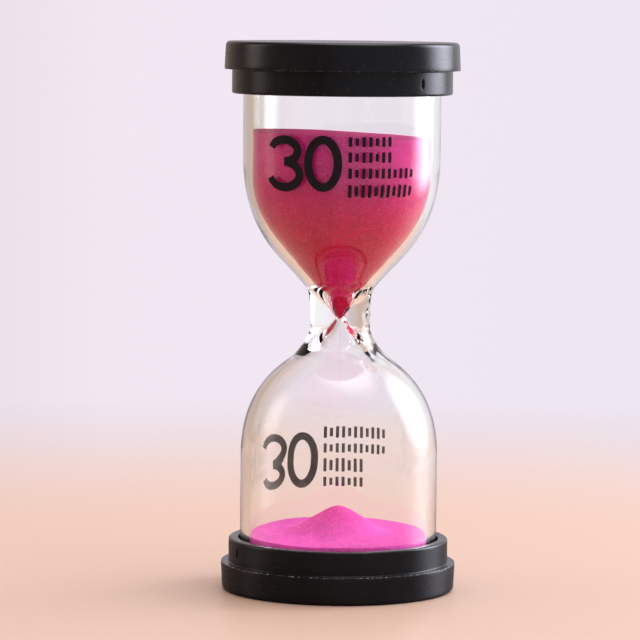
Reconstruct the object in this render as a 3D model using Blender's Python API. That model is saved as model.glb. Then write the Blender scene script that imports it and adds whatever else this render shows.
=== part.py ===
"""Thirty-minute sand timer: a necked glass tube, filled with sand, between two glued plastic caps.

Metres, +Z up. The origin is the centre of the face it stands on, and -Y is the front.
Every piece is turned about the vertical axis, so an outline is a list of (radius, height) points.
"""

import math
from collections import namedtuple

import bmesh
import bpy
from mathutils import Matrix

MM = 0.001

# A point that an outline runs through: its radius, its distance from the orifice and the wall's
# lean away from the axis there.
Station = namedtuple("Station", "radius rise lean")

# Whole timer
HEIGHT = 98.0 * MM
TURN_STEPS = 56                            # facets around every turned piece
CURVE_STEPS = 5                            # facets along each curve of an outline
SMOOTH_BELOW = math.radians(32.0)          # edges bent less than this are shaded smooth

# Clearances
BEDDING_GAP = 0.30 * MM                    # between pieces that rest on or fill one another
POCKET_CLEARANCE = 0.35 * MM               # all round, between the tube and the cap's pocket

# Glass: a tube drawn in to a neck, with a pin-hole orifice through it
TUBE_RADIUS = 17.6 * MM
TUBE_WALL = 1.7 * MM
NECK_RADIUS = 5.3 * MM
ORIFICE_RADIUS = 0.5 * MM
ORIFICE_OFFSET = -0.1 * MM                 # how far the orifice lies above the middle of the timer
RIM_ROUND = 0.4 * MM                       # fire-polished edge of the tube's open ends

# Each half: what the outside runs through as it leaves the neck, the middle of its cone and where
# it becomes straight tube, then the wall on the cone and how the bore leans there, at the orifice,
# and where it ends.
Half = namedtuple("Half", "throat cone tube_start cone_wall bore_lean nozzle_lean bore_start")
UPPER_HALF = Half(
    throat=[Station(5.75 * MM, 4.5 * MM, math.radians(13.0)),
            Station(6.65 * MM, 6.0 * MM, math.radians(41.0))],
    cone=Station(10.3 * MM, 9.9 * MM, math.radians(44.5)),
    tube_start=29.0 * MM,
    cone_wall=1.6 * MM,
    bore_lean=math.radians(45.0),
    nozzle_lean=math.radians(27.0),
    bore_start=26.0 * MM,
)
LOWER_HALF = Half(
    throat=[Station(5.65 * MM, 3.0 * MM, math.radians(24.0))],
    cone=Station(9.9 * MM, 8.1 * MM, math.radians(54.0)),
    tube_start=24.5 * MM,
    cone_wall=1.1 * MM,
    bore_lean=math.radians(52.0),
    nozzle_lean=math.radians(30.0),
    bore_start=23.5 * MM,
)

# Caps: a shallow cup with a wider flange at its closed end, the same for both ends
CAP_END_WALL = 2.0 * MM
FLANGE_HEIGHT = 5.0 * MM
COLLAR_HEIGHT = 4.3 * MM
COLLAR_WALL = 1.70 * MM
FLANGE_STEP = 1.35 * MM                    # how far the flange stands out from the collar
FLANGE_DRAFT = 0.2 * MM                    # the flange tapers in by this much towards its end face
END_EDGE_ROUND = 0.8 * MM
COLLAR_EDGE_ROUND = 0.4 * MM

# Gate vestige: the small oval pit left in each collar where the moulding runner was torn off
GATE_WIDTH = 0.8 * MM
GATE_HEIGHT = 1.6 * MM
GATE_DEPTH = 0.35 * MM
UPPER_GATE_ANGLE = math.radians(-44.5)     # round from +X; each cap was glued on at its own angle
LOWER_GATE_ANGLE = math.radians(-155.5)

# Inside each cap: a disc of adhesive on the floor, then the stopper that closes the tube
PAD_THICKNESS = 0.8 * MM
PAD_INSET = 0.5 * MM                       # the adhesive stops this far short of the tube's outside
STOPPER_LIP = 0.8 * MM                     # thickness of the lip that lies under the tube's rim
STOPPER_LENGTH = 3.8 * MM                  # lip and plug together
STOPPER_EDGE = 0.4 * MM                    # lead-in chamfer of the plug

# Sand
UPPER_HEAD_SPACE = 7.1 * MM                # from the upper collar's rim down to the sand
UPPER_TILT = math.radians(2.6)             # the upper surface leans down towards +X
CRATER_DEPTH = 1.3 * MM                    # the surface dips in the middle as the sand runs out
CRATER_RINGS = (0.75, 0.5, 0.25, 0.0)      # shares of its radius where the crater has a ring of points
LOWER_DEPTH = 2.65 * MM                    # at the glass, over the lower stopper
HEAP_HEIGHT = 4.85 * MM                    # the peak over the sand at the glass
HEAP_SLOPE = math.radians(29.0)            # angle of repose
HEAP_FLANK_RADIUS = 4.4 * MM               # middle of the heap's straight flank
HEAP_FLANK_HEIGHT = 2.7 * MM
GRAIN_TIP = 0.15 * MM                      # radius of the sand where it fills the orifice

# Colours, linear RGB with roughness
GLASS = ("glass", (0.93, 0.95, 0.96, 0.35), 0.02)
CAP_PLASTIC = ("cap_plastic", (0.012, 0.011, 0.012, 1.0), 0.32)
STOPPER_RUBBER = ("stopper_rubber", (0.62, 0.60, 0.57, 1.0), 0.60)
ADHESIVE = ("adhesive", (0.74, 0.70, 0.58, 1.0), 0.40)
UPPER_SAND = ("upper_sand", (0.53, 0.035, 0.085, 1.0), 0.90)
LOWER_SAND = ("lower_sand", (0.90, 0.12, 0.45, 1.0), 0.90)

# Places that follow from the sizes above
ORIFICE_Z = HEIGHT / 2 + ORIFICE_OFFSET
CAP_DEPTH = FLANGE_HEIGHT + COLLAR_HEIGHT
POCKET_RADIUS = TUBE_RADIUS + POCKET_CLEARANCE
COLLAR_RADIUS = POCKET_RADIUS + COLLAR_WALL
FLANGE_RADIUS = COLLAR_RADIUS + FLANGE_STEP
BORE_RADIUS = TUBE_RADIUS - TUBE_WALL
PAD_START = CAP_END_WALL + BEDDING_GAP     # these are distances in from the cap's end face
LIP_START = PAD_START + PAD_THICKNESS + BEDDING_GAP
TUBE_END = LIP_START + STOPPER_LIP + BEDDING_GAP
PLUG_END = LIP_START + STOPPER_LENGTH


def curve(start, start_lean, end, end_lean, handle=0.37):
    """Cubic curve between two (radius, rise) points that leaves and arrives at the given leans."""
    reach = handle * math.dist(start, end)
    near = (start[0] + reach * math.sin(start_lean), start[1] + reach * math.cos(start_lean))
    far = (end[0] - reach * math.sin(end_lean), end[1] - reach * math.cos(end_lean))
    points = []
    for step in range(CURVE_STEPS + 1):
        t = step / CURVE_STEPS
        weights = ((1 - t) ** 3, 3 * t * (1 - t) ** 2, 3 * t * t * (1 - t), t ** 3)
        corners = (start, near, far, end)
        points.append(tuple(sum(w * c[axis] for w, c in zip(weights, corners)) for axis in (0, 1)))
    return points


def through(stations):
    """Smooth outline through the stations, from the orifice outwards."""
    points = [(stations[0].radius, stations[0].rise)]
    for first, second in zip(stations, stations[1:]):
        points += curve(first[:2], first.lean, second[:2], second.lean)[1:]
    return points


def edge_round(corner, before, after, radius, steps=2):
    """Quarter circle in place of a square corner, where before and after are unit directions."""
    centre = [corner[i] + radius * (before[i] + after[i]) for i in (0, 1)]
    points = []
    for step in range(steps + 1):
        angle = 0.5 * math.pi * step / steps
        points.append(tuple(
            centre[i] - radius * (math.cos(angle) * after[i] + math.sin(angle) * before[i])
            for i in (0, 1)))
    return points


def inset(points, gap):
    """The outline moved towards the axis by gap, square to the wall."""
    moved = []
    for index, (radius, rise) in enumerate(points):
        before = points[max(index - 1, 0)]
        after = points[min(index + 1, len(points) - 1)]
        length = math.dist(before, after)
        along = ((after[0] - before[0]) / length, (after[1] - before[1]) / length)
        moved.append((radius - gap * along[1], rise + gap * along[0]))
    return moved


def cut_at_rise(points, rise):
    """The part of an outward-running outline that lies nearer the orifice than rise."""
    kept = [point for point in points if point[1] < rise]
    if len(kept) == len(points):
        return kept + [(kept[-1][0], rise)]
    inner, outer = kept[-1], points[len(kept)]
    share = (rise - inner[1]) / (outer[1] - inner[1])
    return kept + [(inner[0] + share * (outer[0] - inner[0]), rise)]


def outside(half):
    """Outside of one half of the glass, from the neck to the straight tube."""
    neck = Station(NECK_RADIUS, 0.0, 0.0)
    tube = Station(TUBE_RADIUS, half.tube_start, 0.0)
    return through([neck] + half.throat + [half.cone, tube])


def bore(half):
    """Bore of one half of the glass, from the orifice to the straight tube."""
    orifice = Station(ORIFICE_RADIUS, 0.0, half.nozzle_lean)
    cone = Station(half.cone.radius - half.cone_wall * math.cos(half.cone.lean),
                   half.cone.rise + half.cone_wall * math.sin(half.cone.lean),
                   half.bore_lean)
    tube = Station(BORE_RADIUS, half.bore_start, 0.0)
    return through([orifice, cone, tube])


def material(look):
    """Principled material from a (name, colour, roughness) entry."""
    name, colour, roughness = look
    made = bpy.data.materials.get(name)
    if made is None:
        made = bpy.data.materials.new(name)
        made.use_nodes = True
        made.diffuse_color = colour
        shader = made.node_tree.nodes["Principled BSDF"]
        shader.inputs["Base Color"].default_value = colour
        shader.inputs["Roughness"].default_value = roughness
        shader.inputs["Metallic"].default_value = 0.0
        shader.inputs["Alpha"].default_value = colour[3]
    return made


def turned(name, outline, look, ring=False):
    """Turn an outline about the vertical axis. A ring's outline closes on itself."""
    mesh = bpy.data.meshes.new(name)
    shape = bmesh.new()
    points = [shape.verts.new((radius, 0.0, height)) for radius, height in outline]
    edges = [shape.edges.new(pair) for pair in zip(points, points[1:])]
    if ring:
        edges.append(shape.edges.new((points[-1], points[0])))
    bmesh.ops.spin(shape, geom=points + edges, cent=(0, 0, 0), axis=(0, 0, 1),
                   angle=2 * math.pi, steps=TURN_STEPS, use_merge=True)
    bmesh.ops.remove_doubles(shape, verts=shape.verts, dist=0.001 * MM)
    bmesh.ops.recalc_face_normals(shape, faces=shape.faces)
    shape.to_mesh(mesh)
    shape.free()
    mesh.shade_smooth()
    mesh.set_sharp_from_angle(angle=SMOOTH_BELOW)
    mesh.materials.append(material(look))
    piece = bpy.data.objects.new(name, mesh)
    bpy.context.scene.collection.objects.link(piece)
    return piece


def seat_at_end(outline, upper):
    """Place an outline drawn in from a cap's end face at the top or the bottom of the timer."""
    if upper:
        return [(radius, HEIGHT - depth) for radius, depth in outline]
    return list(outline)


def make_glass_body():
    tube_end = TUBE_END - ORIFICE_Z        # the lower end, measured up from the orifice
    tube_top = HEIGHT - TUBE_END - ORIFICE_Z
    outline = [(radius, -rise) for radius, rise in reversed(outside(LOWER_HALF))]
    outline += outside(UPPER_HALF)[1:]
    outline += edge_round((TUBE_RADIUS, tube_top), (0, -1), (-1, 0), RIM_ROUND)
    outline += edge_round((BORE_RADIUS, tube_top), (1, 0), (0, -1), RIM_ROUND)
    outline += reversed(bore(UPPER_HALF)[1:])
    outline += [(radius, -rise) for radius, rise in bore(LOWER_HALF)]
    outline += edge_round((BORE_RADIUS, tube_end), (0, 1), (1, 0), RIM_ROUND)
    outline += edge_round((TUBE_RADIUS, tube_end), (-1, 0), (0, 1), RIM_ROUND)
    outline = [(radius, ORIFICE_Z + rise) for radius, rise in outline]
    turned("glass_body", outline, GLASS, ring=True)


def cut_gate_pit(cap, name, angle, height):
    """Sink an oval pit into the collar at the given angle and height."""
    mesh = bpy.data.meshes.new(name)
    shape = bmesh.new()
    bmesh.ops.create_uvsphere(shape, u_segments=10, v_segments=8, radius=1.0)
    bmesh.ops.scale(shape, vec=(GATE_DEPTH, GATE_WIDTH / 2, GATE_HEIGHT / 2), verts=shape.verts)
    shape.to_mesh(mesh)
    shape.free()
    cutter = bpy.data.objects.new(name, mesh)
    cutter.matrix_world = (Matrix.Rotation(angle, 4, "Z")
                           @ Matrix.Translation((COLLAR_RADIUS, 0.0, height)))
    cutter.hide_render = True
    cutter.display_type = "WIRE"
    bpy.context.scene.collection.objects.link(cutter)
    pit = cap.modifiers.new("gate_pit", "BOOLEAN")
    pit.operation = "DIFFERENCE"
    pit.solver = "EXACT"
    pit.object = cutter


def make_cap(name, upper, gate_angle):
    outline = [(0.0, 0.0)]
    outline += edge_round((FLANGE_RADIUS - FLANGE_DRAFT, 0.0), (-1, 0), (0, 1), END_EDGE_ROUND)
    outline += [(FLANGE_RADIUS, FLANGE_HEIGHT), (COLLAR_RADIUS, FLANGE_HEIGHT)]
    outline += edge_round((COLLAR_RADIUS, CAP_DEPTH), (0, -1), (-1, 0), COLLAR_EDGE_ROUND)
    outline += [(POCKET_RADIUS, CAP_DEPTH), (POCKET_RADIUS, CAP_END_WALL), (0.0, CAP_END_WALL)]
    cap = turned(name, seat_at_end(outline, upper), CAP_PLASTIC)
    gate_depth = FLANGE_HEIGHT + COLLAR_HEIGHT / 2
    height = HEIGHT - gate_depth if upper else gate_depth
    cut_gate_pit(cap, name + "_gate_cutter", gate_angle, height)


def make_adhesive_pad(name, upper):
    radius = TUBE_RADIUS - PAD_INSET
    end = PAD_START + PAD_THICKNESS
    outline = [(0.0, PAD_START), (radius, PAD_START), (radius, end), (0.0, end)]
    turned(name, seat_at_end(outline, upper), ADHESIVE)


def make_stopper(name, upper):
    plug_radius = BORE_RADIUS - BEDDING_GAP
    lip_end = LIP_START + STOPPER_LIP
    outline = [(0.0, LIP_START), (TUBE_RADIUS, LIP_START), (TUBE_RADIUS, lip_end),
               (plug_radius, lip_end), (plug_radius, PLUG_END - STOPPER_EDGE),
               (plug_radius - STOPPER_EDGE, PLUG_END), (0.0, PLUG_END)]
    turned(name, seat_at_end(outline, upper), STOPPER_RUBBER)


def make_upper_sand():
    """Fills the upper funnel from the orifice up to a tilted, slightly cratered surface."""
    level = HEIGHT - CAP_DEPTH - UPPER_HEAD_SPACE
    side = [point for point in inset(bore(UPPER_HALF), BEDDING_GAP) if point[0] > GRAIN_TIP]
    side = cut_at_rise(side, level - ORIFICE_Z)
    rim_radius, rim_rise = side[-1]
    crater = [(rim_radius * share, rim_rise - CRATER_DEPTH * 0.5 * (1 + math.cos(math.pi * share)))
              for share in CRATER_RINGS]
    outline = [(0.0, side[0][1])] + side + crater
    sand = turned("upper_sand", [(radius, ORIFICE_Z + rise) for radius, rise in outline],
                  UPPER_SAND)
    last_side_ring = ORIFICE_Z + side[-2][1]
    for vertex in sand.data.vertices:
        if vertex.co.z > last_side_ring + 0.01 * MM:
            vertex.co.z -= math.tan(UPPER_TILT) * vertex.co.x


def make_lower_sand():
    """A flat layer over the lower stopper with a conical heap under the orifice."""
    base = PLUG_END + BEDDING_GAP
    level = base + LOWER_DEPTH
    radius = BORE_RADIUS - BEDDING_GAP
    across = math.radians(90.0)
    flank = (HEAP_FLANK_RADIUS, level + HEAP_FLANK_HEIGHT)
    outline = curve((0.0, level + HEAP_HEIGHT), across, flank, across + HEAP_SLOPE)
    outline += curve(flank, across + HEAP_SLOPE, (radius, level), across)[1:]
    outline += [(radius, base), (0.0, base)]
    turned("lower_sand", outline, LOWER_SAND)


for leftover in list(bpy.data.objects):
    bpy.data.objects.remove(leftover)

make_glass_body()
make_cap("upper_cap", True, UPPER_GATE_ANGLE)
make_cap("lower_cap", False, LOWER_GATE_ANGLE)
make_adhesive_pad("upper_adhesive", True)
make_adhesive_pad("lower_adhesive", False)
make_stopper("upper_stopper", True)
make_stopper("lower_stopper", False)
make_upper_sand()
make_lower_sand()
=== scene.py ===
"""A thirty-minute sand timer: a necked glass tube of dyed sand between two glued plastic caps.

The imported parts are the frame. Each section below makes one piece of the real timer around them,
in metres, +Z up, with -Y as the front.
"""

import math

import bpy
import numpy as np
from mathutils import Matrix, Vector


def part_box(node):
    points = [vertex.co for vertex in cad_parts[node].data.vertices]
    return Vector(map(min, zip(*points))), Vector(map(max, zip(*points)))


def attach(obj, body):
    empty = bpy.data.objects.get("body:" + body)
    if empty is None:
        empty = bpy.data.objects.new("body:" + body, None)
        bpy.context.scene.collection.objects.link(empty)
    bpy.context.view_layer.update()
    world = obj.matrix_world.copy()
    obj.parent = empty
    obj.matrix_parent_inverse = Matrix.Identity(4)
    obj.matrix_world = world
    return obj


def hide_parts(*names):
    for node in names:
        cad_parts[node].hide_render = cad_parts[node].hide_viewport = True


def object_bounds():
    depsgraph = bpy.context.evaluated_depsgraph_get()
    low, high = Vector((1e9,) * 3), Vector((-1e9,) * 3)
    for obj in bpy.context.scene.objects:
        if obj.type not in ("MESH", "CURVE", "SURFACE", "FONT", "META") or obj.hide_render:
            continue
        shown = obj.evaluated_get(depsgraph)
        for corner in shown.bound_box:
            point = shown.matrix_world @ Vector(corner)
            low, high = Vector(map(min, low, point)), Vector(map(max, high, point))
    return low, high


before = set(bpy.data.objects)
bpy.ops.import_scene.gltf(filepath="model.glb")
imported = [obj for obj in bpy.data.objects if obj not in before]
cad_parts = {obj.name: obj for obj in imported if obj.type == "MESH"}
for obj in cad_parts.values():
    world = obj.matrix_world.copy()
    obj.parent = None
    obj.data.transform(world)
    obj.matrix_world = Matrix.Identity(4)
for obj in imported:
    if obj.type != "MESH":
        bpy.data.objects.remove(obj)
cad_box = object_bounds()

MM = 0.001


# Studio: a round pale table whose edge fades into a pale room, one large soft window to the right,
# a weaker fill from the left, a soft ceiling, and a long lens that looks down at the timer.

def linear(hex_colour):
    """sRGB hex to linear RGBA: c / 12.92 below 0.04045, otherwise ((c + 0.055) / 1.055) ** 2.4."""
    srgb = [int(hex_colour[i:i + 2], 16) / 255 for i in (1, 3, 5)]
    return [c / 12.92 if c <= 0.04045 else ((c + 0.055) / 1.055) ** 2.4 for c in srgb] + [1.0]


def add(tree, kind, inputs=None, **settings):
    """Add a shader node. An input given as another node's socket is linked, any other is set."""
    made = tree.nodes.new("ShaderNode" + kind)
    for name, value in settings.items():
        setattr(made, name, value)
    for name, value in (inputs or {}).items():
        if isinstance(value, bpy.types.NodeSocket):
            tree.links.new(value, made.inputs[name])
        else:
            made.inputs[name].default_value = value
    return made


def blank_material(name):
    """A node material with nothing in it but its output, and that output's Surface socket."""
    material = bpy.data.materials.new(name)
    material.use_nodes = True
    material.node_tree.nodes.clear()
    output = material.node_tree.nodes.new("ShaderNodeOutputMaterial")
    return material, material.node_tree, output.inputs["Surface"]


def place_mesh(name, points, faces, material):
    """An object of the given points and faces, in the scene and at the origin."""
    mesh = bpy.data.meshes.new(name)
    mesh.from_pydata(points.tolist(), [], faces)
    mesh.materials.append(material)
    placed = bpy.data.objects.new(name, mesh)
    bpy.context.scene.collection.objects.link(placed)
    return placed


TABLE_RADIUS = 340 * MM
TABLE_SIDES = 128
TABLE_FADE = (70 * MM, 330 * MM)           # the table is whole inside the first, gone by the last

turn = np.linspace(0, 2 * math.pi, TABLE_SIDES + 1)[:-1]
rim = np.stack([TABLE_RADIUS * np.cos(turn), TABLE_RADIUS * np.sin(turn), 0 * turn], 1)
paint, tree, surface = blank_material("matt_pale_lacquer")
# Matt lacquer on pale wood, in one plain tone: a warm bounce below the timer, a painted darker
# shade where the timer mirrors it, which keeps the caps black, and no edge where the table ends.
place = add(tree, "TexCoord").outputs["Object"]
distance = add(tree, "VectorMath", {0: place}, operation="LENGTH").outputs["Value"]
fade = add(tree, "MapRange", {"Value": distance, "From Min": TABLE_FADE[0],
                              "From Max": TABLE_FADE[1]}, interpolation_type="SMOOTHSTEP")
ray = add(tree, "LightPath")
# Painted shade: the table is darker in what the timer mirrors of it.
mirrored = add(tree, "Math", {0: ray.outputs["Is Glossy Ray"],
                              1: ray.outputs["Is Transmission Ray"]}, operation="SUBTRACT",
               use_clamp=True)
tone = add(tree, "Mix", {"Factor": mirrored.outputs[0], 6: linear("#D9B8A2"),
                         7: linear("#64554B")}, data_type="RGBA")
lacquer = add(tree, "BsdfPrincipled", {"Base Color": tone.outputs[2], "Roughness": 0.42,
                                       "Specular IOR Level": 0.3})
nothing = add(tree, "BsdfTransparent")
mixed = add(tree, "MixShader", {0: fade.outputs[0], 1: lacquer.outputs[0], 2: nothing.outputs[0]})
tree.links.new(mixed.outputs[0], surface)
table = place_mesh("table", rim, [list(range(TABLE_SIDES))], paint)

# The room is bright where it is looked at and behind clear glass, dimmer as a source of light, and
# dimmest in mirrored light, except beyond the timer. Its colour runs from a warm left to a white
# right: each share is 0 at the far left, 0.5 straight ahead and 1 at the far right.
ROOM_SEEN = 0.98
ROOM_LIGHT = 0.92
ROOM_GLOSS = 0.20
FAR_GLOSS = 0.75
ROOM_COLOURS = ((0.0, "#D9C3B2"), (0.25, "#CDB5A8"), (0.40, "#D8CACE"), (0.47, "#F4EAF5"),
                (0.54, "#F0E8F4"), (0.66, "#FAF6FD"), (1.0, "#FFFFFF"))

room = bpy.data.worlds.new("pale_room")
bpy.context.scene.world = room
room.use_nodes = True
heading = add(room.node_tree, "TexCoord").outputs["Generated"]
heading = add(room.node_tree, "SeparateXYZ", {0: heading})
gloss = add(room.node_tree, "MapRange", {"Value": heading.outputs["Y"], "From Min": 0.35,
                                         "From Max": 0.9, "To Min": ROOM_GLOSS,
                                         "To Max": FAR_GLOSS})
ray = add(room.node_tree, "LightPath")
seen = add(room.node_tree, "Math", {0: ray.outputs["Is Camera Ray"],
                                    1: ray.outputs["Is Transmission Ray"]}, operation="MAXIMUM")
lit = add(room.node_tree, "Mix", {"Factor": ray.outputs["Is Diffuse Ray"], 2: gloss.outputs[0],
                                  3: ROOM_LIGHT})
bright = add(room.node_tree, "Mix", {"Factor": seen.outputs[0], 2: lit.outputs[0], 3: ROOM_SEEN})
rightwards = add(room.node_tree, "MapRange", {"Value": heading.outputs["X"], "From Min": -1.0})
wall_colour = add(room.node_tree, "ValToRGB", {"Fac": rightwards.outputs[0]})
for share, colour in ROOM_COLOURS[1:-1]:
    wall_colour.color_ramp.elements.new(share).color = linear(colour)
wall_colour.color_ramp.elements[0].color = linear(ROOM_COLOURS[0][1])
wall_colour.color_ramp.elements[-1].color = linear(ROOM_COLOURS[-1][1])
backdrop = room.node_tree.nodes["Background"]
room.node_tree.links.new(wall_colour.outputs["Color"], backdrop.inputs["Color"])
room.node_tree.links.new(bright.outputs[0], backdrop.inputs["Strength"])
bpy.context.scene.view_settings.view_transform = "Standard"


def soft_light(name, place, aim, size, watts, colour):
    """Rectangular area lamp at place, facing aim, that dims from full near its centre to nothing
    at its edges, like a curtained window. Places and sizes are in metres."""
    lamp = bpy.data.lights.new(name, "AREA")
    lamp.shape = "RECTANGLE"
    lamp.size, lamp.size_y = size
    lamp.energy = watts
    lamp.color = linear(colour)[:3]
    lamp.use_nodes = True
    across = add(lamp.node_tree, "NewGeometry").outputs["Parametric"]
    offset = add(lamp.node_tree, "VectorMath", {0: across, 1: (0.5, 0.5, 0.0)},
                 operation="SUBTRACT").outputs[0]
    flat = add(lamp.node_tree, "VectorMath", {0: offset, 1: (2.0, 2.0, 0.0)},
               operation="MULTIPLY").outputs[0]
    edge = add(lamp.node_tree, "VectorMath", {0: flat}, operation="LENGTH").outputs["Value"]
    glow = add(lamp.node_tree, "MapRange", {"Value": edge, "From Min": 1.0, "From Max": 0.1},
               interpolation_type="SMOOTHSTEP").outputs[0]
    lamp.node_tree.links.new(glow, lamp.node_tree.nodes["Emission"].inputs["Strength"])
    holder = bpy.data.objects.new(name, lamp)
    holder.location = place
    holder.rotation_euler = (Vector(aim) - Vector(place)).to_track_quat("-Z", "Y").to_euler()
    bpy.context.scene.collection.objects.link(holder)


middle = (0, 0, 0.05)                      # half way up the timer
soft_light("window_right", (0.70, 0.30, 0.30), middle, (0.85, 1.05), 26.0, "#EDEEFF")
soft_light("fill_left", (-0.95, 0.10, 0.35), middle, (0.7, 1.0), 4.0, "#FFF2E6")
soft_light("overhead", (0.10, 0.05, 0.85), middle, (1.3, 1.1), 14.0, "#FFFFFF")

EYE_DISTANCE = 665 * MM                    # along the table, from the timer's axis
EYE_HEIGHT = 105.8 * MM
LENS = 210.0
LOOK_DOWN = math.radians(4.94)
LOOK_LEFT = math.radians(0.31)
HEAD_TILT = math.radians(0.55)

lens = bpy.data.cameras.new("long_lens")
lens.lens = LENS
lens.sensor_width = 36.0
lens.clip_start = 0.01
camera = bpy.data.objects.new("long_lens", lens)
camera.matrix_world = (Matrix.Translation((0, -EYE_DISTANCE, EYE_HEIGHT))
                       @ Matrix.Rotation(LOOK_LEFT, 4, "Z")
                       @ Matrix.Rotation(math.pi / 2 - LOOK_DOWN, 4, "X")
                       @ Matrix.Rotation(HEAD_TILT, 4, "Z"))
bpy.context.scene.collection.objects.link(camera)
bpy.context.scene.camera = camera


# Glass body: one soda-lime tube, heated in the middle, drawn in to a neck and pierced by the
# pin-hole the sand runs through. The wall is thick at the neck and thin over the shoulders, the
# cut ends are fire-polished, and the drawn part keeps the waves and dents of the forming tool.

glass_low, glass_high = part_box("glass_body")
timer_low, timer_high = cad_box
HEIGHT = timer_high[2] - timer_low[2]
TUBE_RADIUS = glass_high.x
TUBE_WALL = 1.7 * MM
BORE_RADIUS = TUBE_RADIUS - TUBE_WALL
NECK_RADIUS = 5.3 * MM
ORIFICE_Z = HEIGHT / 2 - 0.1 * MM
LIP_ROUND = 0.4 * MM

# Stations that the wall runs through: radius and distance from the orifice in mm, lean in degrees.
UPPER_OUTSIDE = [(5.3, 0.0, 0.0), (5.75, 4.5, 13.0), (6.65, 6.0, 41.0), (10.3, 9.9, 44.5),
                 (17.6, 29.0, 0.0)]
LOWER_OUTSIDE = [(5.3, 0.0, 0.0), (5.65, 3.0, 24.0), (9.9, 8.1, 54.0), (17.6, 24.5, 0.0)]
UPPER_STRAIGHT = 26.0                      # where the bore's straight part begins, above
LOWER_STRAIGHT = 23.5                      # and below the orifice
UPPER_BORE = [(0.5, 0.0, 27.0), (9.16, 11.02, 45.0), (15.9, UPPER_STRAIGHT, 0.0)]
LOWER_BORE = [(0.5, 0.0, 30.0), (9.25, 8.99, 52.0), (15.9, LOWER_STRAIGHT, 0.0)]


def line(start, end, step=0.5 * MM):
    """Evenly spaced points from start to end."""
    count = max(2, int(math.dist(start, end) / step) + 1)
    share = np.linspace(0, 1, count)[:, None]
    return (1 - share) * np.array(start) + share * np.array(end)


def corner(at, before, after, radius, count=7):
    """Quarter circle in place of the square corner at. before and after are unit directions."""
    at, before, after = np.array(at), np.array(before), np.array(after)
    angle = np.linspace(0, math.pi / 2, count)[:, None]
    return at + radius * (before + after - np.cos(angle) * after - np.sin(angle) * before)


def join(*runs):
    """One outline from several runs of points, leaving out points closer than a micrometre."""
    points = np.vstack(runs)
    gaps = np.hypot(*np.diff(points, axis=0).T)
    return points[np.concatenate([[True], gaps > 1e-6])]


def drawn_wall(stations, step=0.45 * MM, handle=0.37):
    """Cubic curves through the stations. Each leaves and arrives along the wall's lean, and handle
    is its handles' share of the straight distance between its two stations."""
    runs = []
    for (r0, t0, lean0), (r1, t1, lean1) in zip(stations, stations[1:]):
        ends = np.array([[r0, t0], [r1, t1]]) * MM
        lean = np.radians([lean0, lean1])
        along = np.stack([np.sin(lean), np.cos(lean)], 1)
        reach = handle * math.dist(*ends)
        t = np.linspace(0, 1, max(4, int(3 * reach / step)))[:, None]
        runs.append((1 - t) ** 3 * ends[0] + 3 * t * (1 - t) ** 2 * (ends[0] + reach * along[0])
                    + 3 * t * t * (1 - t) * (ends[1] - reach * along[1]) + t ** 3 * ends[1])
    return join(*runs)


def upwards(points):
    """Outline of the upper half in place: height is the orifice's plus the distance from it."""
    return points + [0, ORIFICE_Z]


def downwards(points):
    """Outline of the lower half in place: height is the orifice's less the distance from it."""
    return points * [1, -1] + [0, ORIFICE_Z]


def turned_points(outline, angles, push=None):
    """Grid of points: outline point i at turn angle j, moved outwards by push[i, j]."""
    radius = outline[:, :1] + (0 if push is None else push)
    return np.stack([radius * np.cos(angles), radius * np.sin(angles),
                     np.broadcast_to(outline[:, 1:], np.broadcast(radius, angles).shape)], -1)


def skin(name, grid, material, ring=False):
    """Closed mesh over a grid of points whose columns close on themselves.

    With ring, the last row also joins the first, as on a tube bent into a ring. Otherwise the
    first and last rows each shrink to one point, the pole, and a fan of triangles closes them."""
    rows, columns = grid.shape[:2]
    j = np.arange(columns)
    k = (j + 1) % columns
    if ring:
        points = grid.reshape(-1, 3)
        a = np.arange(rows)[:, None] * columns
        b = (np.arange(rows)[:, None] + 1) % rows * columns
    else:
        points = np.vstack([grid[0, :1], grid[1:-1].reshape(-1, 3), grid[-1, :1]])
        a = np.arange(rows - 3)[:, None] * columns + 1
        b = a + columns
    faces = np.stack([a + j, a + k, b + k, b + j], -1).reshape(-1, 4).tolist()
    if not ring:
        last = len(points) - 1
        far = last - columns
        faces += np.stack([0 * j, 1 + k, 1 + j], -1).tolist()
        faces += np.stack([0 * j + last, far + j, far + k], -1).tolist()
    piece = place_mesh(name, points, faces, material)
    piece.data.shade_smooth()
    outwards(piece.data)
    return piece


def outwards(mesh):
    """Turn every face over if the mesh's signed volume, the sum of a . (b x c) / 6, is negative."""
    mesh.calc_loop_triangles()
    places = np.empty(len(mesh.vertices) * 3)
    mesh.vertices.foreach_get("co", places)
    corners = np.empty(len(mesh.loop_triangles) * 3, int)
    mesh.loop_triangles.foreach_get("vertices", corners)
    a, b, c = places.reshape(-1, 3)[corners.reshape(-1, 3)].transpose(1, 0, 2)
    if np.einsum("ij,ij->i", a, np.cross(b, c)).sum() < 0:
        mesh.flip_normals()


def waves(heights, angles, seed, count, around, along):
    """Smooth unevenness from -1 to 1: the mean of count sine waves, each with a whole number of
    turns up to around, a wavelength upwards of along, and its own seeded phase."""
    chance = np.random.default_rng(seed)
    total = 0
    for _ in range(count):
        turns = chance.integers(1, around + 1)
        length = along * chance.uniform(1.0, 2.5)
        phase = chance.uniform(0, 2 * math.pi, 2)
        total = total + np.cos(turns * angles + phase[0]) * np.cos(
            2 * math.pi * heights / length + phase[1])
    return total / count


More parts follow.
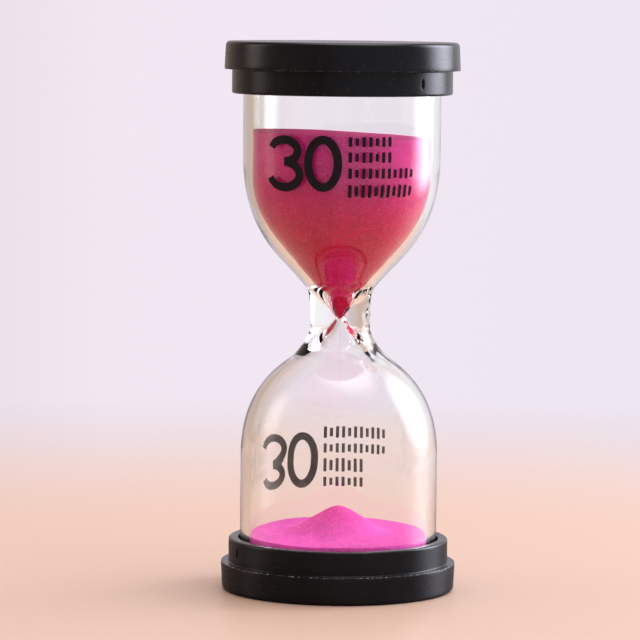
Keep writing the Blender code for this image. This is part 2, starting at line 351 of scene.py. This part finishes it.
def dents(heights, angles, seed, count, span, height, size):
    """Marks of the forming tool, 1 deep each and some of them raised instead: round Gaussian spots
    of the given size, scattered between the angles of span and within height of the neck."""
    chance = np.random.default_rng(seed)
    total = 0
    for _ in range(count):
        angle = chance.uniform(*span)
        centre = ORIFICE_Z + chance.uniform(*height)
        width = size * chance.uniform(0.6, 1.3)
        around = (angles - angle + math.pi) % (2 * math.pi) - math.pi
        mark = np.exp(-((around * NECK_RADIUS) ** 2 + (heights - centre) ** 2) / width ** 2)
        total = total + chance.choice([-0.6, 1.0]) * mark
    return total


TUBE_WAVE = 0.012 * MM                     # unevenness of the drawn tube
SHOULDER_WAVE = 0.05 * MM                  # and of the part that was heated
HEATED = 17 * MM                           # how far from the orifice the heat reached
FORMING_DENT = 0.17 * MM
GLASS_COLUMNS = 216
RIM_ROWS = 60                              # outline rows from the upper shoulder to inside the rim

around = np.linspace(0, 2 * math.pi, GLASS_COLUMNS + 1)[:-1]
outside = join(downwards(drawn_wall(LOWER_OUTSIDE))[::-1], upwards(drawn_wall(UPPER_OUTSIDE)))
glass_outline = join(
    line((TUBE_RADIUS, glass_low.z + LIP_ROUND), outside[0])[:-1],
    outside,
    line(outside[-1], (TUBE_RADIUS, glass_high.z - LIP_ROUND))[1:],
    corner((TUBE_RADIUS, glass_high.z), (0, -1), (-1, 0), LIP_ROUND),
    corner((BORE_RADIUS, glass_high.z), (1, 0), (0, -1), LIP_ROUND),
    line((BORE_RADIUS, glass_high.z - LIP_ROUND),
         (BORE_RADIUS, ORIFICE_Z + UPPER_STRAIGHT * MM))[1:],
    upwards(drawn_wall(UPPER_BORE))[::-1],
    downwards(drawn_wall(LOWER_BORE)),
    line((BORE_RADIUS, ORIFICE_Z - LOWER_STRAIGHT * MM),
         (BORE_RADIUS, glass_low.z + LIP_ROUND))[1:],
    corner((BORE_RADIUS, glass_low.z), (0, 1), (1, 0), LIP_ROUND),
    corner((TUBE_RADIUS, glass_low.z), (-1, 0), (0, 1), LIP_ROUND)[:-1],
)
heights = glass_outline[:, 1:]
heated = np.exp(-((heights - ORIFICE_Z) / HEATED) ** 2)
in_bore = (np.arange(len(glass_outline)) > len(outside) + RIM_ROWS)[:, None]
depth = TUBE_WAVE + SHOULDER_WAVE * heated
push = depth * np.where(in_bore, waves(heights, around, 3, 9, 5, 9 * MM),
                        waves(heights, around, 8, 9, 6, 7 * MM))
push = push * np.minimum(glass_outline[:, :1] / (4 * MM), 1.0)   # the pin-hole stays even
# The tool marked the right side of the front: the neck, and less densely the shoulder below it.
marks = dents(heights, around, 21, 44, (-1.3, -0.05), (-1.8 * MM, 5.0 * MM), 0.5 * MM)
marks = marks + dents(heights, around, 5, 22, (-1.2, 0.1), (-9.5 * MM, -5.0 * MM), 0.6 * MM)
push = push - np.where(in_bore, 0, FORMING_DENT * marks)
glass_grid = turned_points(glass_outline, around, push)

glass, tree, surface = blank_material("soda_lime_glass")
# Clear drawn soda-lime glass: sharp reflections, strong bending of what lies behind it, hardly any
# colour. Lamps shine straight through it, since a bent shadow ray would find none of them.
body = add(tree, "BsdfPrincipled", {"Base Color": linear("#FEFFFE"), "Roughness": 0.0, "IOR": 1.5,
                                    "Transmission Weight": 1.0})
shine_through = add(tree, "BsdfTransparent", {"Color": linear("#F7F9F8")})
from_lamp = add(tree, "LightPath").outputs["Is Shadow Ray"]
mixed = add(tree, "MixShader", {0: from_lamp, 1: body.outputs[0], 2: shine_through.outputs[0]})
tree.links.new(mixed.outputs[0], surface)

glass_body = skin("drawn_glass_body", glass_grid, glass, ring=True)
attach(glass_body, "root")
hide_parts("glass_body")


# Caps: two equal shallow cups of black ABS, each with a wider flange at its closed end. The mould
# parts at the step between flange and collar, where a ragged line of flash and dust shows, and the
# runner was torn off the collar, which leaves an oval pit.

cap_low, cap_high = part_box("lower_cap")
FLANGE_RADIUS = cap_high.x
CAP_DEPTH = cap_high.z - cap_low.z
FLANGE_HEIGHT = 5.0 * MM
FLANGE_STEP = 1.35 * MM
COLLAR_RADIUS = FLANGE_RADIUS - FLANGE_STEP
POCKET_GAP = 0.35 * MM
POCKET_RADIUS = TUBE_RADIUS + POCKET_GAP
CAP_END_WALL = 2.0 * MM
FLANGE_DRAFT = 0.2 * MM
FOOT_ROUND = 0.8 * MM
STEP_ROUND = 0.12 * MM
STEP_FILLET = 0.15 * MM                    # inside corner between the step and the collar
COLLAR_ROUND = 0.4 * MM
POCKET_ROUND = 0.15 * MM
FLASH = 0.035 * MM                         # how far the step's edge drops back between flash
PIT_WIDTH = 0.8 * MM
PIT_HEIGHT = 1.6 * MM
PIT_DEPTH = 0.35 * MM

cap_outline = join(
    line((0, 0), (FLANGE_RADIUS - FLANGE_DRAFT - FOOT_ROUND, 0), 1.2 * MM)[:-1],
    corner((FLANGE_RADIUS - FLANGE_DRAFT, 0), (-1, 0), (0, 1), FOOT_ROUND, 10),
    line((FLANGE_RADIUS - FLANGE_DRAFT, FOOT_ROUND),
         (FLANGE_RADIUS, FLANGE_HEIGHT - STEP_ROUND))[1:],
    corner((FLANGE_RADIUS, FLANGE_HEIGHT), (0, -1), (-1, 0), STEP_ROUND, 5),
    line((FLANGE_RADIUS - STEP_ROUND, FLANGE_HEIGHT),
         (COLLAR_RADIUS + STEP_FILLET, FLANGE_HEIGHT), 0.2 * MM)[1:],
    corner((COLLAR_RADIUS, FLANGE_HEIGHT), (1, 0), (0, 1), STEP_FILLET, 5),
    line((COLLAR_RADIUS, FLANGE_HEIGHT + STEP_FILLET),
         (COLLAR_RADIUS, CAP_DEPTH - COLLAR_ROUND), 0.12 * MM)[1:],
    corner((COLLAR_RADIUS, CAP_DEPTH), (0, -1), (-1, 0), COLLAR_ROUND),
    corner((POCKET_RADIUS, CAP_DEPTH), (1, 0), (0, -1), POCKET_ROUND, 4),
    line((POCKET_RADIUS, CAP_DEPTH - POCKET_ROUND), (POCKET_RADIUS, CAP_END_WALL), 0.6 * MM)[1:],
    line((POCKET_RADIUS, CAP_END_WALL), (0, CAP_END_WALL), 1.5 * MM)[1:],
)


def cap_angles(pit_angle, spread=math.radians(2.4)):
    """Turn angles 0.8 degrees apart, and 0.15 degrees apart within spread of the pit."""
    close = np.arange(-spread, spread, math.radians(0.15))
    wide = np.linspace(spread, 2 * math.pi - spread, 440)
    return pit_angle + np.concatenate([close, wide])[:-1]


def cap_push(outline, angles, pit_angle, seed):
    """Outward moves of a cap's surface: the step's edge drops back by a ragged noise wherever no
    flash stands on it, and the pit is a hollow with a flat floor, deepest inside the oval
    (across / width)^2 + (up / height)^2."""
    depth = outline[:, 1:]
    on_edge = np.exp(-((depth - FLANGE_HEIGHT) / (0.22 * MM)) ** 2) * (
        outline[:, :1] > FLANGE_RADIUS - 0.2 * MM)
    ragged = np.minimum(np.abs(waves(depth, angles, seed, 24, 140, 30 * MM)) * 2.2, 1)
    around = (angles - pit_angle + math.pi) % (2 * math.pi) - math.pi
    oval = np.hypot(around * COLLAR_RADIUS / (PIT_WIDTH / 2),
                    (depth - (FLANGE_HEIGHT + CAP_DEPTH) / 2) / (PIT_HEIGHT / 2))
    on_collar = (np.abs(outline[:, :1] - COLLAR_RADIUS) < 0.01 * MM)
    pit = on_collar * 0.5 * (1 - np.tanh((oval - 0.9) * 7))
    return -FLASH * on_edge * (1 - ragged) - PIT_DEPTH * pit


abs_plastic, tree, surface = blank_material("moulded_black_abs")
# Injection-moulded black ABS: a semi-gloss skin with cloudy gloss from handling, a few hairline
# scuffs along the turn, pale dust caught on the step, and scattered specks of lint.
place = add(tree, "TexCoord").outputs["Object"]
clouds = add(tree, "TexNoise", {"Vector": place, "Scale": 1 / 0.009, "Detail": 4.0,
                                "Roughness": 0.6})
stretched = add(tree, "Mapping", {"Vector": place, "Scale": (1 / 0.012, 1 / 0.012, 1 / 0.00022)})
scuffs = add(tree, "TexNoise", {"Vector": stretched.outputs[0], "Scale": 1.0, "Detail": 2.0})
scuff_mask = add(tree, "MapRange", {"Value": scuffs.outputs["Fac"], "From Min": 0.62,
                                    "From Max": 0.74})
grain = add(tree, "TexNoise", {"Vector": place, "Scale": 1 / 0.00045, "Detail": 2.0})
height = add(tree, "SeparateXYZ", {0: place}).outputs["Z"]
# The lower step faces up and holds more dust than the upper one, which faces down.
near_step = []
for level, dustiness in ((FLANGE_HEIGHT, 0.9), (HEIGHT - FLANGE_HEIGHT, 0.35)):
    gap = add(tree, "Math", {0: height, 1: level}, operation="SUBTRACT").outputs[0]
    gap = add(tree, "Math", {0: gap}, operation="ABSOLUTE").outputs[0]
    near_step.append(add(tree, "MapRange", {"Value": gap, "From Min": 0.22 * MM,
                                            "From Max": 0.02 * MM,
                                            "To Max": dustiness}).outputs[0])
step_mask = add(tree, "Math", {0: near_step[0], 1: near_step[1]}, operation="MAXIMUM").outputs[0]
level_place = add(tree, "VectorMath", {0: place, 1: (1.0, 1.0, 0.0)}, operation="MULTIPLY")
radius = add(tree, "VectorMath", {0: level_place.outputs[0]}, operation="LENGTH").outputs["Value"]
on_edge = add(tree, "Math", {0: radius, 1: FLANGE_RADIUS - 0.30 * MM}, operation="GREATER_THAN")
step_mask = add(tree, "Math", {0: step_mask, 1: on_edge.outputs[0]},
                operation="MULTIPLY").outputs[0]
broken = add(tree, "TexNoise", {"Vector": place, "Scale": 1 / 0.0007, "Detail": 3.0,
                                "Roughness": 0.7})
broken_mask = add(tree, "MapRange", {"Value": broken.outputs["Fac"], "From Min": 0.50,
                                     "From Max": 0.64}).outputs[0]
dust = add(tree, "Math", {0: step_mask, 1: broken_mask}, operation="MULTIPLY").outputs[0]
lint = add(tree, "TexVoronoi", {"Vector": place, "Scale": 1 / 0.0016})
lint_mask = add(tree, "MapRange", {"Value": lint.outputs["Distance"], "From Min": 0.085,
                                   "From Max": 0.05}).outputs[0]
lint_mask = add(tree, "Math", {0: lint_mask, 1: 0.12}, operation="MULTIPLY").outputs[0]
pale = add(tree, "Math", {0: dust, 1: lint_mask}, operation="MAXIMUM").outputs[0]
shade = add(tree, "MapRange", {"Value": clouds.outputs["Fac"], "From Min": 0.3, "From Max": 0.7})
black = add(tree, "Mix", {"Factor": shade.outputs[0], 6: linear("#111216"), 7: linear("#17181D")},
            data_type="RGBA")
skin_colour = add(tree, "Mix", {"Factor": pale, 6: black.outputs[2], 7: linear("#8E8A8C")},
                  data_type="RGBA")
gloss = add(tree, "MapRange", {"Value": clouds.outputs["Fac"], "From Min": 0.3, "From Max": 0.7,
                               "To Min": 0.19, "To Max": 0.29})
gloss = add(tree, "Math", {0: scuff_mask.outputs[0], 1: 0.12, 2: gloss.outputs[0]},
            operation="MULTIPLY_ADD")
gloss = add(tree, "Math", {0: pale, 1: 0.3, 2: gloss.outputs[0]}, operation="MULTIPLY_ADD")
relief = add(tree, "Math", {0: grain.outputs["Fac"], 1: 0.5, 2: clouds.outputs["Fac"]},
             operation="MULTIPLY_ADD")
bump = add(tree, "Bump", {"Height": relief.outputs[0], "Strength": 0.12, "Distance": 0.15 * MM})
body = add(tree, "BsdfPrincipled", {"Base Color": skin_colour.outputs[2],
                                    "Roughness": gloss.outputs[0], "Normal": bump.outputs[0],
                                    "IOR": 1.5})
tree.links.new(body.outputs[0], surface)

for name, pit_angle, seed, top in (("lower_cap", math.radians(-155.5), 4, False),
                                   ("upper_cap", math.radians(-44.5), 9, True)):
    angles = cap_angles(pit_angle)
    placed = turned_points(cap_outline, angles, cap_push(cap_outline, angles, pit_angle, seed))
    if top:
        placed[..., 2] = HEIGHT - placed[..., 2]
    cap = skin("moulded_" + name, placed, abs_plastic)
    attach(cap, "root")
    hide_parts(name)


# Adhesive and stoppers: a puddle of hot-melt glue on each cap's floor, and a cream rubber stopper
# pressed into each end of the tube, both hidden in the caps. The stopper's inner face is flat, with
# the ring that its mould left.

glue, tree, surface = blank_material("hot_melt_adhesive")
# Set hot-melt glue: milky and waxy, with small bubbles under a satin skin.
place = add(tree, "TexCoord").outputs["Object"]
bubbles = add(tree, "TexVoronoi", {"Vector": place, "Scale": 1 / 0.0012})
milky = add(tree, "Mix", {"Factor": bubbles.outputs["Distance"], 6: linear("#D8CDB4"),
                          7: linear("#EFE9D8")}, data_type="RGBA")
bump = add(tree, "Bump", {"Height": bubbles.outputs["Distance"], "Strength": 0.4,
                          "Distance": 0.2 * MM})
body = add(tree, "BsdfPrincipled", {"Base Color": milky.outputs[2], "Roughness": 0.38,
                                    "Normal": bump.outputs[0], "Subsurface Weight": 0.3,
                                    "Subsurface Scale": 1.0 * MM})
tree.links.new(body.outputs[0], surface)
for name in ("lower_adhesive", "upper_adhesive"):
    for pad_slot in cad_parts[name].material_slots:
        pad_slot.material = glue

rubber, tree, surface = blank_material("moulded_silicone_rubber")
# Moulded silicone rubber: cream, slightly cloudy, with a dull finely pitted skin.
place = add(tree, "TexCoord").outputs["Object"]
bloom = add(tree, "TexNoise", {"Vector": place, "Scale": 1 / 0.004, "Detail": 5.0})
tone = add(tree, "Mix", {"Factor": bloom.outputs["Fac"], 6: linear("#CFC9C0"),
                         7: linear("#DEDAD2")}, data_type="RGBA")
pores = add(tree, "TexNoise", {"Vector": place, "Scale": 1 / 0.0003})
bump = add(tree, "Bump", {"Height": pores.outputs["Fac"], "Strength": 0.25,
                          "Distance": 0.06 * MM})
body = add(tree, "BsdfPrincipled", {"Base Color": tone.outputs[2], "Roughness": 0.55,
                                    "Normal": bump.outputs[0], "Subsurface Weight": 0.2,
                                    "Subsurface Scale": 0.8 * MM})
tree.links.new(body.outputs[0], surface)

stopper_low, stopper_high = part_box("lower_stopper")
STOPPER_TOP = stopper_high.z
PLUG_RADIUS = BORE_RADIUS - 0.12 * MM
PLUG_ROUND = 0.4 * MM
LIP = 0.8 * MM
LIP_EDGE = 0.2 * MM
MOULD_RING = 9.5 * MM                      # radius of the groove that the mould left
MOULD_RING_WIDTH = 0.5 * MM
MOULD_RING_DEPTH = 0.25 * MM
stopper_outline = join(
    line((0, stopper_low.z), (TUBE_RADIUS - LIP_EDGE, stopper_low.z), 1.5 * MM)[:-1],
    corner((TUBE_RADIUS, stopper_low.z), (-1, 0), (0, 1), LIP_EDGE, 4),
    corner((TUBE_RADIUS, stopper_low.z + LIP), (0, -1), (-1, 0), LIP_EDGE, 4),
    line((TUBE_RADIUS - LIP_EDGE, stopper_low.z + LIP), (PLUG_RADIUS, stopper_low.z + LIP))[1:],
    line((PLUG_RADIUS, stopper_low.z + LIP), (PLUG_RADIUS, STOPPER_TOP - PLUG_ROUND))[1:],
    corner((PLUG_RADIUS, STOPPER_TOP), (0, -1), (-1, 0), PLUG_ROUND, 6),
    line((PLUG_RADIUS - PLUG_ROUND, STOPPER_TOP), (0, STOPPER_TOP), 0.35 * MM)[1:],
)
inner_face = stopper_outline[:, 1] > STOPPER_TOP - 1e-6
groove = np.exp(-((stopper_outline[:, 0] - MOULD_RING) / MOULD_RING_WIDTH) ** 2)
stopper_outline[:, 1] -= np.where(inner_face, MOULD_RING_DEPTH * groove, 0)
angles = np.linspace(0, 2 * math.pi, 145)[:-1]
for name, top in (("lower_stopper", False), ("upper_stopper", True)):
    placed = turned_points(stopper_outline, angles)
    if top:
        placed[..., 2] = HEIGHT - placed[..., 2]
    stopper = skin("rubber_" + name, placed, rubber)
    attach(stopper, "root")
    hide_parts(name)


# Sand: fine quartz grains dyed pink, sieved to about a fifth of a millimetre. The upper fill lies
# against the glass and has sunk into a slightly tilted crater, and the lower fill has heaped into
# a cone at its angle of repose.

GRAIN = 0.22 * MM
SAND_CLEARANCE = 0.06 * MM                 # grains touch the glass only at points

upper_low, upper_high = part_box("upper_sand")
lower_low, lower_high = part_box("lower_sand")


def sand_material(name, low_colour, high_colour, low, high, glint_share, painted_glint_colour, relief):
    """Dyed quartz: the colour runs from low_colour to high_colour between two heights, a painted
    shift of light and shade, each grain is a Voronoi cell with its own shade, and a few grains
    carry a painted glint, their colour mixed towards a bright glint colour."""
    material, tree, surface = blank_material(name)
    place = add(tree, "TexCoord").outputs["Object"]
    height = add(tree, "SeparateXYZ", {0: place}).outputs["Z"]
    # Painted light and shade: the colour changes with height, not the dye.
    rise = add(tree, "MapRange", {"Value": height, "From Min": low, "From Max": high},
               interpolation_type="SMOOTHSTEP")
    base = add(tree, "Mix", {"Factor": rise.outputs[0], 6: linear(low_colour),
                             7: linear(high_colour)}, data_type="RGBA")
    grains = add(tree, "TexVoronoi", {"Vector": place, "Scale": 1 / GRAIN})
    shade = add(tree, "SeparateColor", {0: grains.outputs["Color"]})
    darker = add(tree, "MapRange", {"Value": shade.outputs["Red"], "To Min": 0.84, "To Max": 1.12})
    tinted = add(tree, "Mix", {"Factor": 1.0, 6: base.outputs[2], 7: darker.outputs[0]},
                 data_type="RGBA", blend_type="MULTIPLY")
    # Painted glints: a few grains' colour is mixed towards a bright glint colour.
    rare = add(tree, "MapRange", {"Value": shade.outputs["Green"], "From Min": 0.955,
                                  "From Max": 0.975})
    bright = add(tree, "Math", {0: rare.outputs[0], 1: glint_share}, operation="MULTIPLY")
    lit = add(tree, "Mix", {"Factor": bright.outputs[0], 6: tinted.outputs[2], 7: linear(painted_glint_colour)},
              data_type="RGBA")
    clumps = add(tree, "TexNoise", {"Vector": place, "Scale": 1 / 0.0035, "Detail": 3.0})
    mottled = add(tree, "MapRange", {"Value": clumps.outputs["Fac"], "From Min": 0.25,
                                     "From Max": 0.75, "To Min": 0.9, "To Max": 1.08})
    colour = add(tree, "Mix", {"Factor": 1.0, 6: lit.outputs[2], 7: mottled.outputs[0]},
                 data_type="RGBA", blend_type="MULTIPLY")
    bump = add(tree, "Bump", {"Height": grains.outputs["Distance"], "Strength": relief,
                              "Distance": 0.1 * MM}, invert=True)
    rough = add(tree, "MapRange", {"Value": shade.outputs["Blue"], "To Min": 0.55, "To Max": 0.95})
    body = add(tree, "BsdfPrincipled", {"Base Color": colour.outputs[2],
                                        "Roughness": rough.outputs[0],
                                        "Normal": bump.outputs[0], "Specular IOR Level": 0.1})
    tree.links.new(body.outputs[0], surface)
    return material


# One dyed sand in two painted lightings: the upper fill's crimson is painted shade and the lower
# heap's bright pink is painted light.
painted_shade_sand = sand_material("dyed_sand_painted_shade", "#E8084E", "#EC2090", 62 * MM, 80 * MM,
                             0.15, "#F7A8C4", 0.3)
painted_light_sand = sand_material("dyed_sand_painted_light", "#F858BC", "#F046A8", 10.5 * MM, 14 * MM,
                          0.24, "#FFD4EC", 0.9)


def inset(outline, gap):
    """The outline moved towards the axis by gap, square to the wall."""
    along = np.gradient(outline, axis=0)
    along /= np.hypot(*along.T)[:, None]
    return outline + gap * along[:, ::-1] * [-1, 1]


def lumps(across, along, seed, count, shortest):
    """Uneven ground from -1 to 1: the mean of count plane waves, each in a seeded direction with a
    wavelength from shortest to three times that."""
    chance = np.random.default_rng(seed)
    total = 0
    for _ in range(count):
        heading, phase = chance.uniform(0, 2 * math.pi, 2)
        length = shortest * chance.uniform(1, 3)
        total = total + np.sin(2 * math.pi * (across * math.cos(heading)
                                              + along * math.sin(heading)) / length + phase)
    return total / count


UPPER_TILT = math.radians(2.6)
CRATER_DEPTH = 1.3 * MM
SAND_COLUMNS = 240
LEVEL = upper_high.z - math.tan(UPPER_TILT) * upper_high.x
angles = np.linspace(0, 2 * math.pi, SAND_COLUMNS + 1)[:-1]
sand_radius = BORE_RADIUS - SAND_CLEARANCE
wall = upwards(inset(drawn_wall(UPPER_BORE), SAND_CLEARANCE))
wall = wall[wall[:, 0] > 0.2 * MM]
side = turned_points(join([[0, wall[0, 1] - 0.15 * MM]], wall), angles)
rim_level = LEVEL - math.tan(UPPER_TILT) * sand_radius * np.cos(angles)
share = np.linspace(0, 1, 16)[1:, None]
upright = wall[-1, 1] + share * (rim_level - wall[-1, 1])
straight = np.stack([sand_radius * np.cos(angles) + 0 * upright,
                     sand_radius * np.sin(angles) + 0 * upright, upright], -1)
inwards = np.linspace(1, 0, 70)[1:, None]
x = sand_radius * inwards * np.cos(angles)
y = sand_radius * inwards * np.sin(angles)
dip = CRATER_DEPTH * 0.5 * (1 + np.cos(math.pi * inwards))
ground = (LEVEL - math.tan(UPPER_TILT) * x - dip
          + np.sin(math.pi * np.minimum(inwards, 0.98)) * (
              0.10 * MM * lumps(x, y, 2, 8, 5 * MM) + 0.05 * MM * lumps(x, y, 6, 12, 1.2 * MM)))
ground[-1] = ground[-1].mean()
surface_rings = np.stack([x, y, ground], -1)
upper_fill = skin("upper_sand_fill", np.vstack([side, straight, surface_rings]), painted_shade_sand)
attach(upper_fill, "root")
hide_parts("upper_sand")

# The heap's flank is straight at the angle of repose between its rounded peak and its toe.
HEAP_SLOPE = math.radians(34)
PEAK_ROUND = 1.7 * MM
TOE_ROUND = 0.4 * MM
BED_RISE = math.tan(math.radians(2.2))     # the bed round the heap is a little deeper at the back
BED_CROWN = 0.25 * MM                      # and in the middle
BED_WALL = 1.3 * MM                        # height up to which the bed stands straight on the glass
HEAP_HEIGHT = 4.85 * MM                    # the peak over the sand at the glass
BASE = lower_low.z
PEAK = lower_high.z
EDGE_LEVEL = PEAK - HEAP_HEIGHT
inwards = np.linspace(1, 0, 130)[1:, None] ** 0.9
x = sand_radius * inwards * np.cos(angles)
y = sand_radius * inwards * np.sin(angles)
reach = np.hypot(x, y)
cone = PEAK - math.tan(HEAP_SLOPE) * (np.sqrt(reach ** 2 + PEAK_ROUND ** 2) - PEAK_ROUND)
flat = EDGE_LEVEL + BED_RISE * y + BED_CROWN * np.cos(0.5 * math.pi * reach / sand_radius)
ground = TOE_ROUND * np.logaddexp(cone / TOE_ROUND, flat / TOE_ROUND)
ground = ground + (0.07 * MM * lumps(x, y, 12, 10, 3.0 * MM)
                   + 0.05 * MM * lumps(x, y, 31, 14, 0.9 * MM)) * np.minimum(inwards * 6, 1)
ground[-1] = ground[-1].mean()
top_rings = np.stack([x, y, ground], -1)
wall_heights = np.array([BASE, BASE + BED_WALL])[:, None]
standing = np.stack([sand_radius * np.cos(angles) + 0 * wall_heights,
                     sand_radius * np.sin(angles) + 0 * wall_heights,
                     wall_heights + 0 * angles], -1)
rim_row = np.stack([sand_radius * np.cos(angles), sand_radius * np.sin(angles),
                    EDGE_LEVEL + BED_RISE * sand_radius * np.sin(angles)
                    + 0.1 * MM * np.sin(5 * angles) * np.sin(2 * angles + 1)], -1)[None]
foot = np.zeros((1, len(angles), 3)) + [0, 0, BASE]
lower_fill = skin("lower_sand_heap", np.vstack([foot, standing, rim_row, top_rings]), painted_light_sand)
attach(lower_fill, "root")
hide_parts("lower_sand")

# Falling grains: they leave the orifice one after another and draw apart as they speed up, each at
# the height v * t + g * t * t / 2 below it. A grain is a rough octahedron.
FALLING = 64
GRAIN_RADIUS = (0.04 * MM, 0.08 * MM)
LEAVING_SPEED = 0.12                       # m/s at the orifice
GRAVITY = 9.81
drop = ORIFICE_Z - 0.1 * MM - PEAK
landing_time = (math.sqrt(LEAVING_SPEED ** 2 + 2 * GRAVITY * drop) - LEAVING_SPEED) / GRAVITY
chance = np.random.default_rng(44)
moments = np.linspace(0.0, landing_time, FALLING) + chance.uniform(-0.3, 0.3, FALLING) * (
    landing_time / FALLING)
moments = np.clip(moments, 0.0, landing_time)
levels = ORIFICE_Z - 0.1 * MM - LEAVING_SPEED * moments - GRAVITY * moments ** 2 / 2
spread = 0.05 * MM + 0.10 * MM * (ORIFICE_Z - levels) / drop
centres = np.stack([chance.normal(0, 1, FALLING) * spread, chance.normal(0, 1, FALLING) * spread,
                    levels], 1)
facets = np.array([[1, 0, 0], [-1, 0, 0], [0, 1, 0], [0, -1, 0], [0, 0, 1], [0, 0, -1]])
sizes = chance.uniform(*GRAIN_RADIUS, (FALLING, 6, 1))
points = (centres[:, None] + facets * sizes).reshape(-1, 3)
octants = np.array([[0, 2, 4], [2, 1, 4], [1, 3, 4], [3, 0, 4], [2, 0, 5], [1, 2, 5], [3, 1, 5],
                    [0, 3, 5]])
faces = (octants + 6 * np.arange(FALLING)[:, None, None]).reshape(-1, 3)
falling_grains = place_mesh("falling_grains", points, faces.tolist(), painted_light_sand)
outwards(falling_grains.data)
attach(falling_grains, "root")


# Print: black screen ink on the glass, a large 30 and four rows of tally strokes beside it. It
# faces the front on the upper half, and on the lower half it is the same print half a turn round,
# so that it faces the front when the timer is turned over.

LOWER_PRINT_TURN = math.radians(-13.7)     # the second print isn't quite opposite the first
INK_FILM = 0.03 * MM
INK_LIFT = 0.004 * MM
STROKE = 1.5 * MM

ink, tree, surface = blank_material("black_screen_ink")
# Opaque black ink with a faint mesh pattern and a soft sheen.
place = add(tree, "TexCoord").outputs["Object"]
cloud = add(tree, "TexNoise", {"Vector": place, "Scale": 1 / 0.0009, "Detail": 3.0})
tone = add(tree, "Mix", {"Factor": cloud.outputs["Fac"], 6: linear("#1B1619"),
                         7: linear("#2A2328")}, data_type="RGBA")
rough = add(tree, "MapRange", {"Value": cloud.outputs["Fac"], "To Min": 0.35, "To Max": 0.55})
bump = add(tree, "Bump", {"Height": cloud.outputs["Fac"], "Strength": 0.15,
                          "Distance": 0.02 * MM})
body = add(tree, "BsdfPrincipled", {"Base Color": tone.outputs[2], "Roughness": rough.outputs[0],
                                    "Normal": bump.outputs[0], "Specular IOR Level": 0.15})
tree.links.new(body.outputs[0], surface)

upper_wall = join(upwards(drawn_wall(UPPER_OUTSIDE)), [[TUBE_RADIUS, glass_high.z]])
lower_wall = join([[TUBE_RADIUS, glass_low.z]], downwards(drawn_wall(LOWER_OUTSIDE))[::-1])


def on_glass(across, height, lift, lower):
    """A print point on the tube: across is the arc length to the right of the front, and height is
    measured on the upper half. The lower print is the upper one turned half round the X axis."""
    angle = across / TUBE_RADIUS - math.pi / 2
    if lower:
        angle = angle + LOWER_PRINT_TURN
        height = HEIGHT - height
        radius = np.interp(height, lower_wall[:, 1], lower_wall[:, 0]) + lift
        return np.stack([radius * np.cos(angle), -radius * np.sin(angle), height], -1)
    radius = np.interp(height, upper_wall[:, 1], upper_wall[:, 0]) + lift
    return np.stack([radius * np.cos(angle), radius * np.sin(angle), height], -1)


def ink_stroke(path, width, closed, lower):
    """Points and quads of one stroke: a flat bar of the ink's thickness carried along the path. Its
    four edges lie half a width to each side of the path, on the glass and one film above it."""
    along = np.gradient(path, axis=0)
    if closed:
        along = np.roll(path, -1, 0) - np.roll(path, 1, 0)
    along /= np.hypot(*along.T)[:, None]
    aside = along[:, ::-1] * [-1, 1] * width / 2
    corners = []
    for side, lift in ((1, INK_LIFT), (-1, INK_LIFT), (-1, INK_LIFT + INK_FILM),
                       (1, INK_LIFT + INK_FILM)):
        edge = path + side * aside
        corners.append(on_glass(edge[:, 0], edge[:, 1], lift, lower))
    grid = np.stack(corners, 1)
    count = len(path)
    i = np.arange(count if closed else count - 1)[:, None] * 4
    n = (i + 4) % (4 * count)
    k = np.arange(4)
    quads = np.stack([i + k, i + (k + 1) % 4, n + (k + 1) % 4, n + k], -1).reshape(-1, 4)
    if not closed:
        quads = np.vstack([quads, [3, 2, 1, 0], 4 * count - 4 + k])
    return grid.reshape(-1, 3), quads


def arc(centre, radii, start, end, count=40):
    """Part of an ellipse, in degrees anticlockwise from the right."""
    angle = np.radians(np.linspace(start, end, count))
    return np.stack([centre[0] + radii[0] * np.cos(angle), centre[1] + radii[1] * np.sin(angle)],
                    1) * MM


# The 3 is two open arcs and the 0 a closed ellipse, with centres and radii in mm. Each row gives
# its middle height, its strokes' height, how many there are, and its width, in mm.
PRINT_MIDDLE = 77.0                        # height of the middle of the figures, in mm
ROW_START = 0.9                            # left end of the rows, in mm to the right of the front
TALLY_WIDTH = 0.62 * MM
figures = [
    (arc((-10.75, PRINT_MIDDLE + 2.15), (2.8, 1.9), 165, -85), STROKE, False),
    (arc((-10.8, PRINT_MIDDLE - 2.0), (3.2, 2.25), 88, -165), STROKE, False),
    (arc((-3.3, PRINT_MIDDLE), (2.65, 4.15), 0, 360, 81)[:-1], STROKE, True),
]
ROWS = ((80.85, 1.7, 7, 8.4), (78.15, 1.8, 7, 8.4), (75.35, 1.8, 11, 13.2), (72.25, 2.2, 11, 13.2))
for middle_height, tall, count, span in ROWS:
    for place_in_row in range(count):
        left = ROW_START + (place_in_row + 0.5) * span / count
        reach = tall * (0.38 if place_in_row % 3 == 1 else 0.5)
        bar = np.array([[left, middle_height - reach], [left, middle_height],
                        [left, middle_height + reach]]) * MM
        figures.append((bar, TALLY_WIDTH, False))

for name, lower in (("upper_print", False), ("lower_print", True)):
    points, faces = np.empty((0, 3)), np.empty((0, 4), int)
    for path, width, closed in figures:
        more, quads = ink_stroke(path, width, closed, lower)
        faces = np.vstack([faces, quads + len(points)])
        points = np.vstack([points, more])
    printed = place_mesh(name, points, faces.tolist(), ink)
    outwards(printed.data)
    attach(printed, "root")
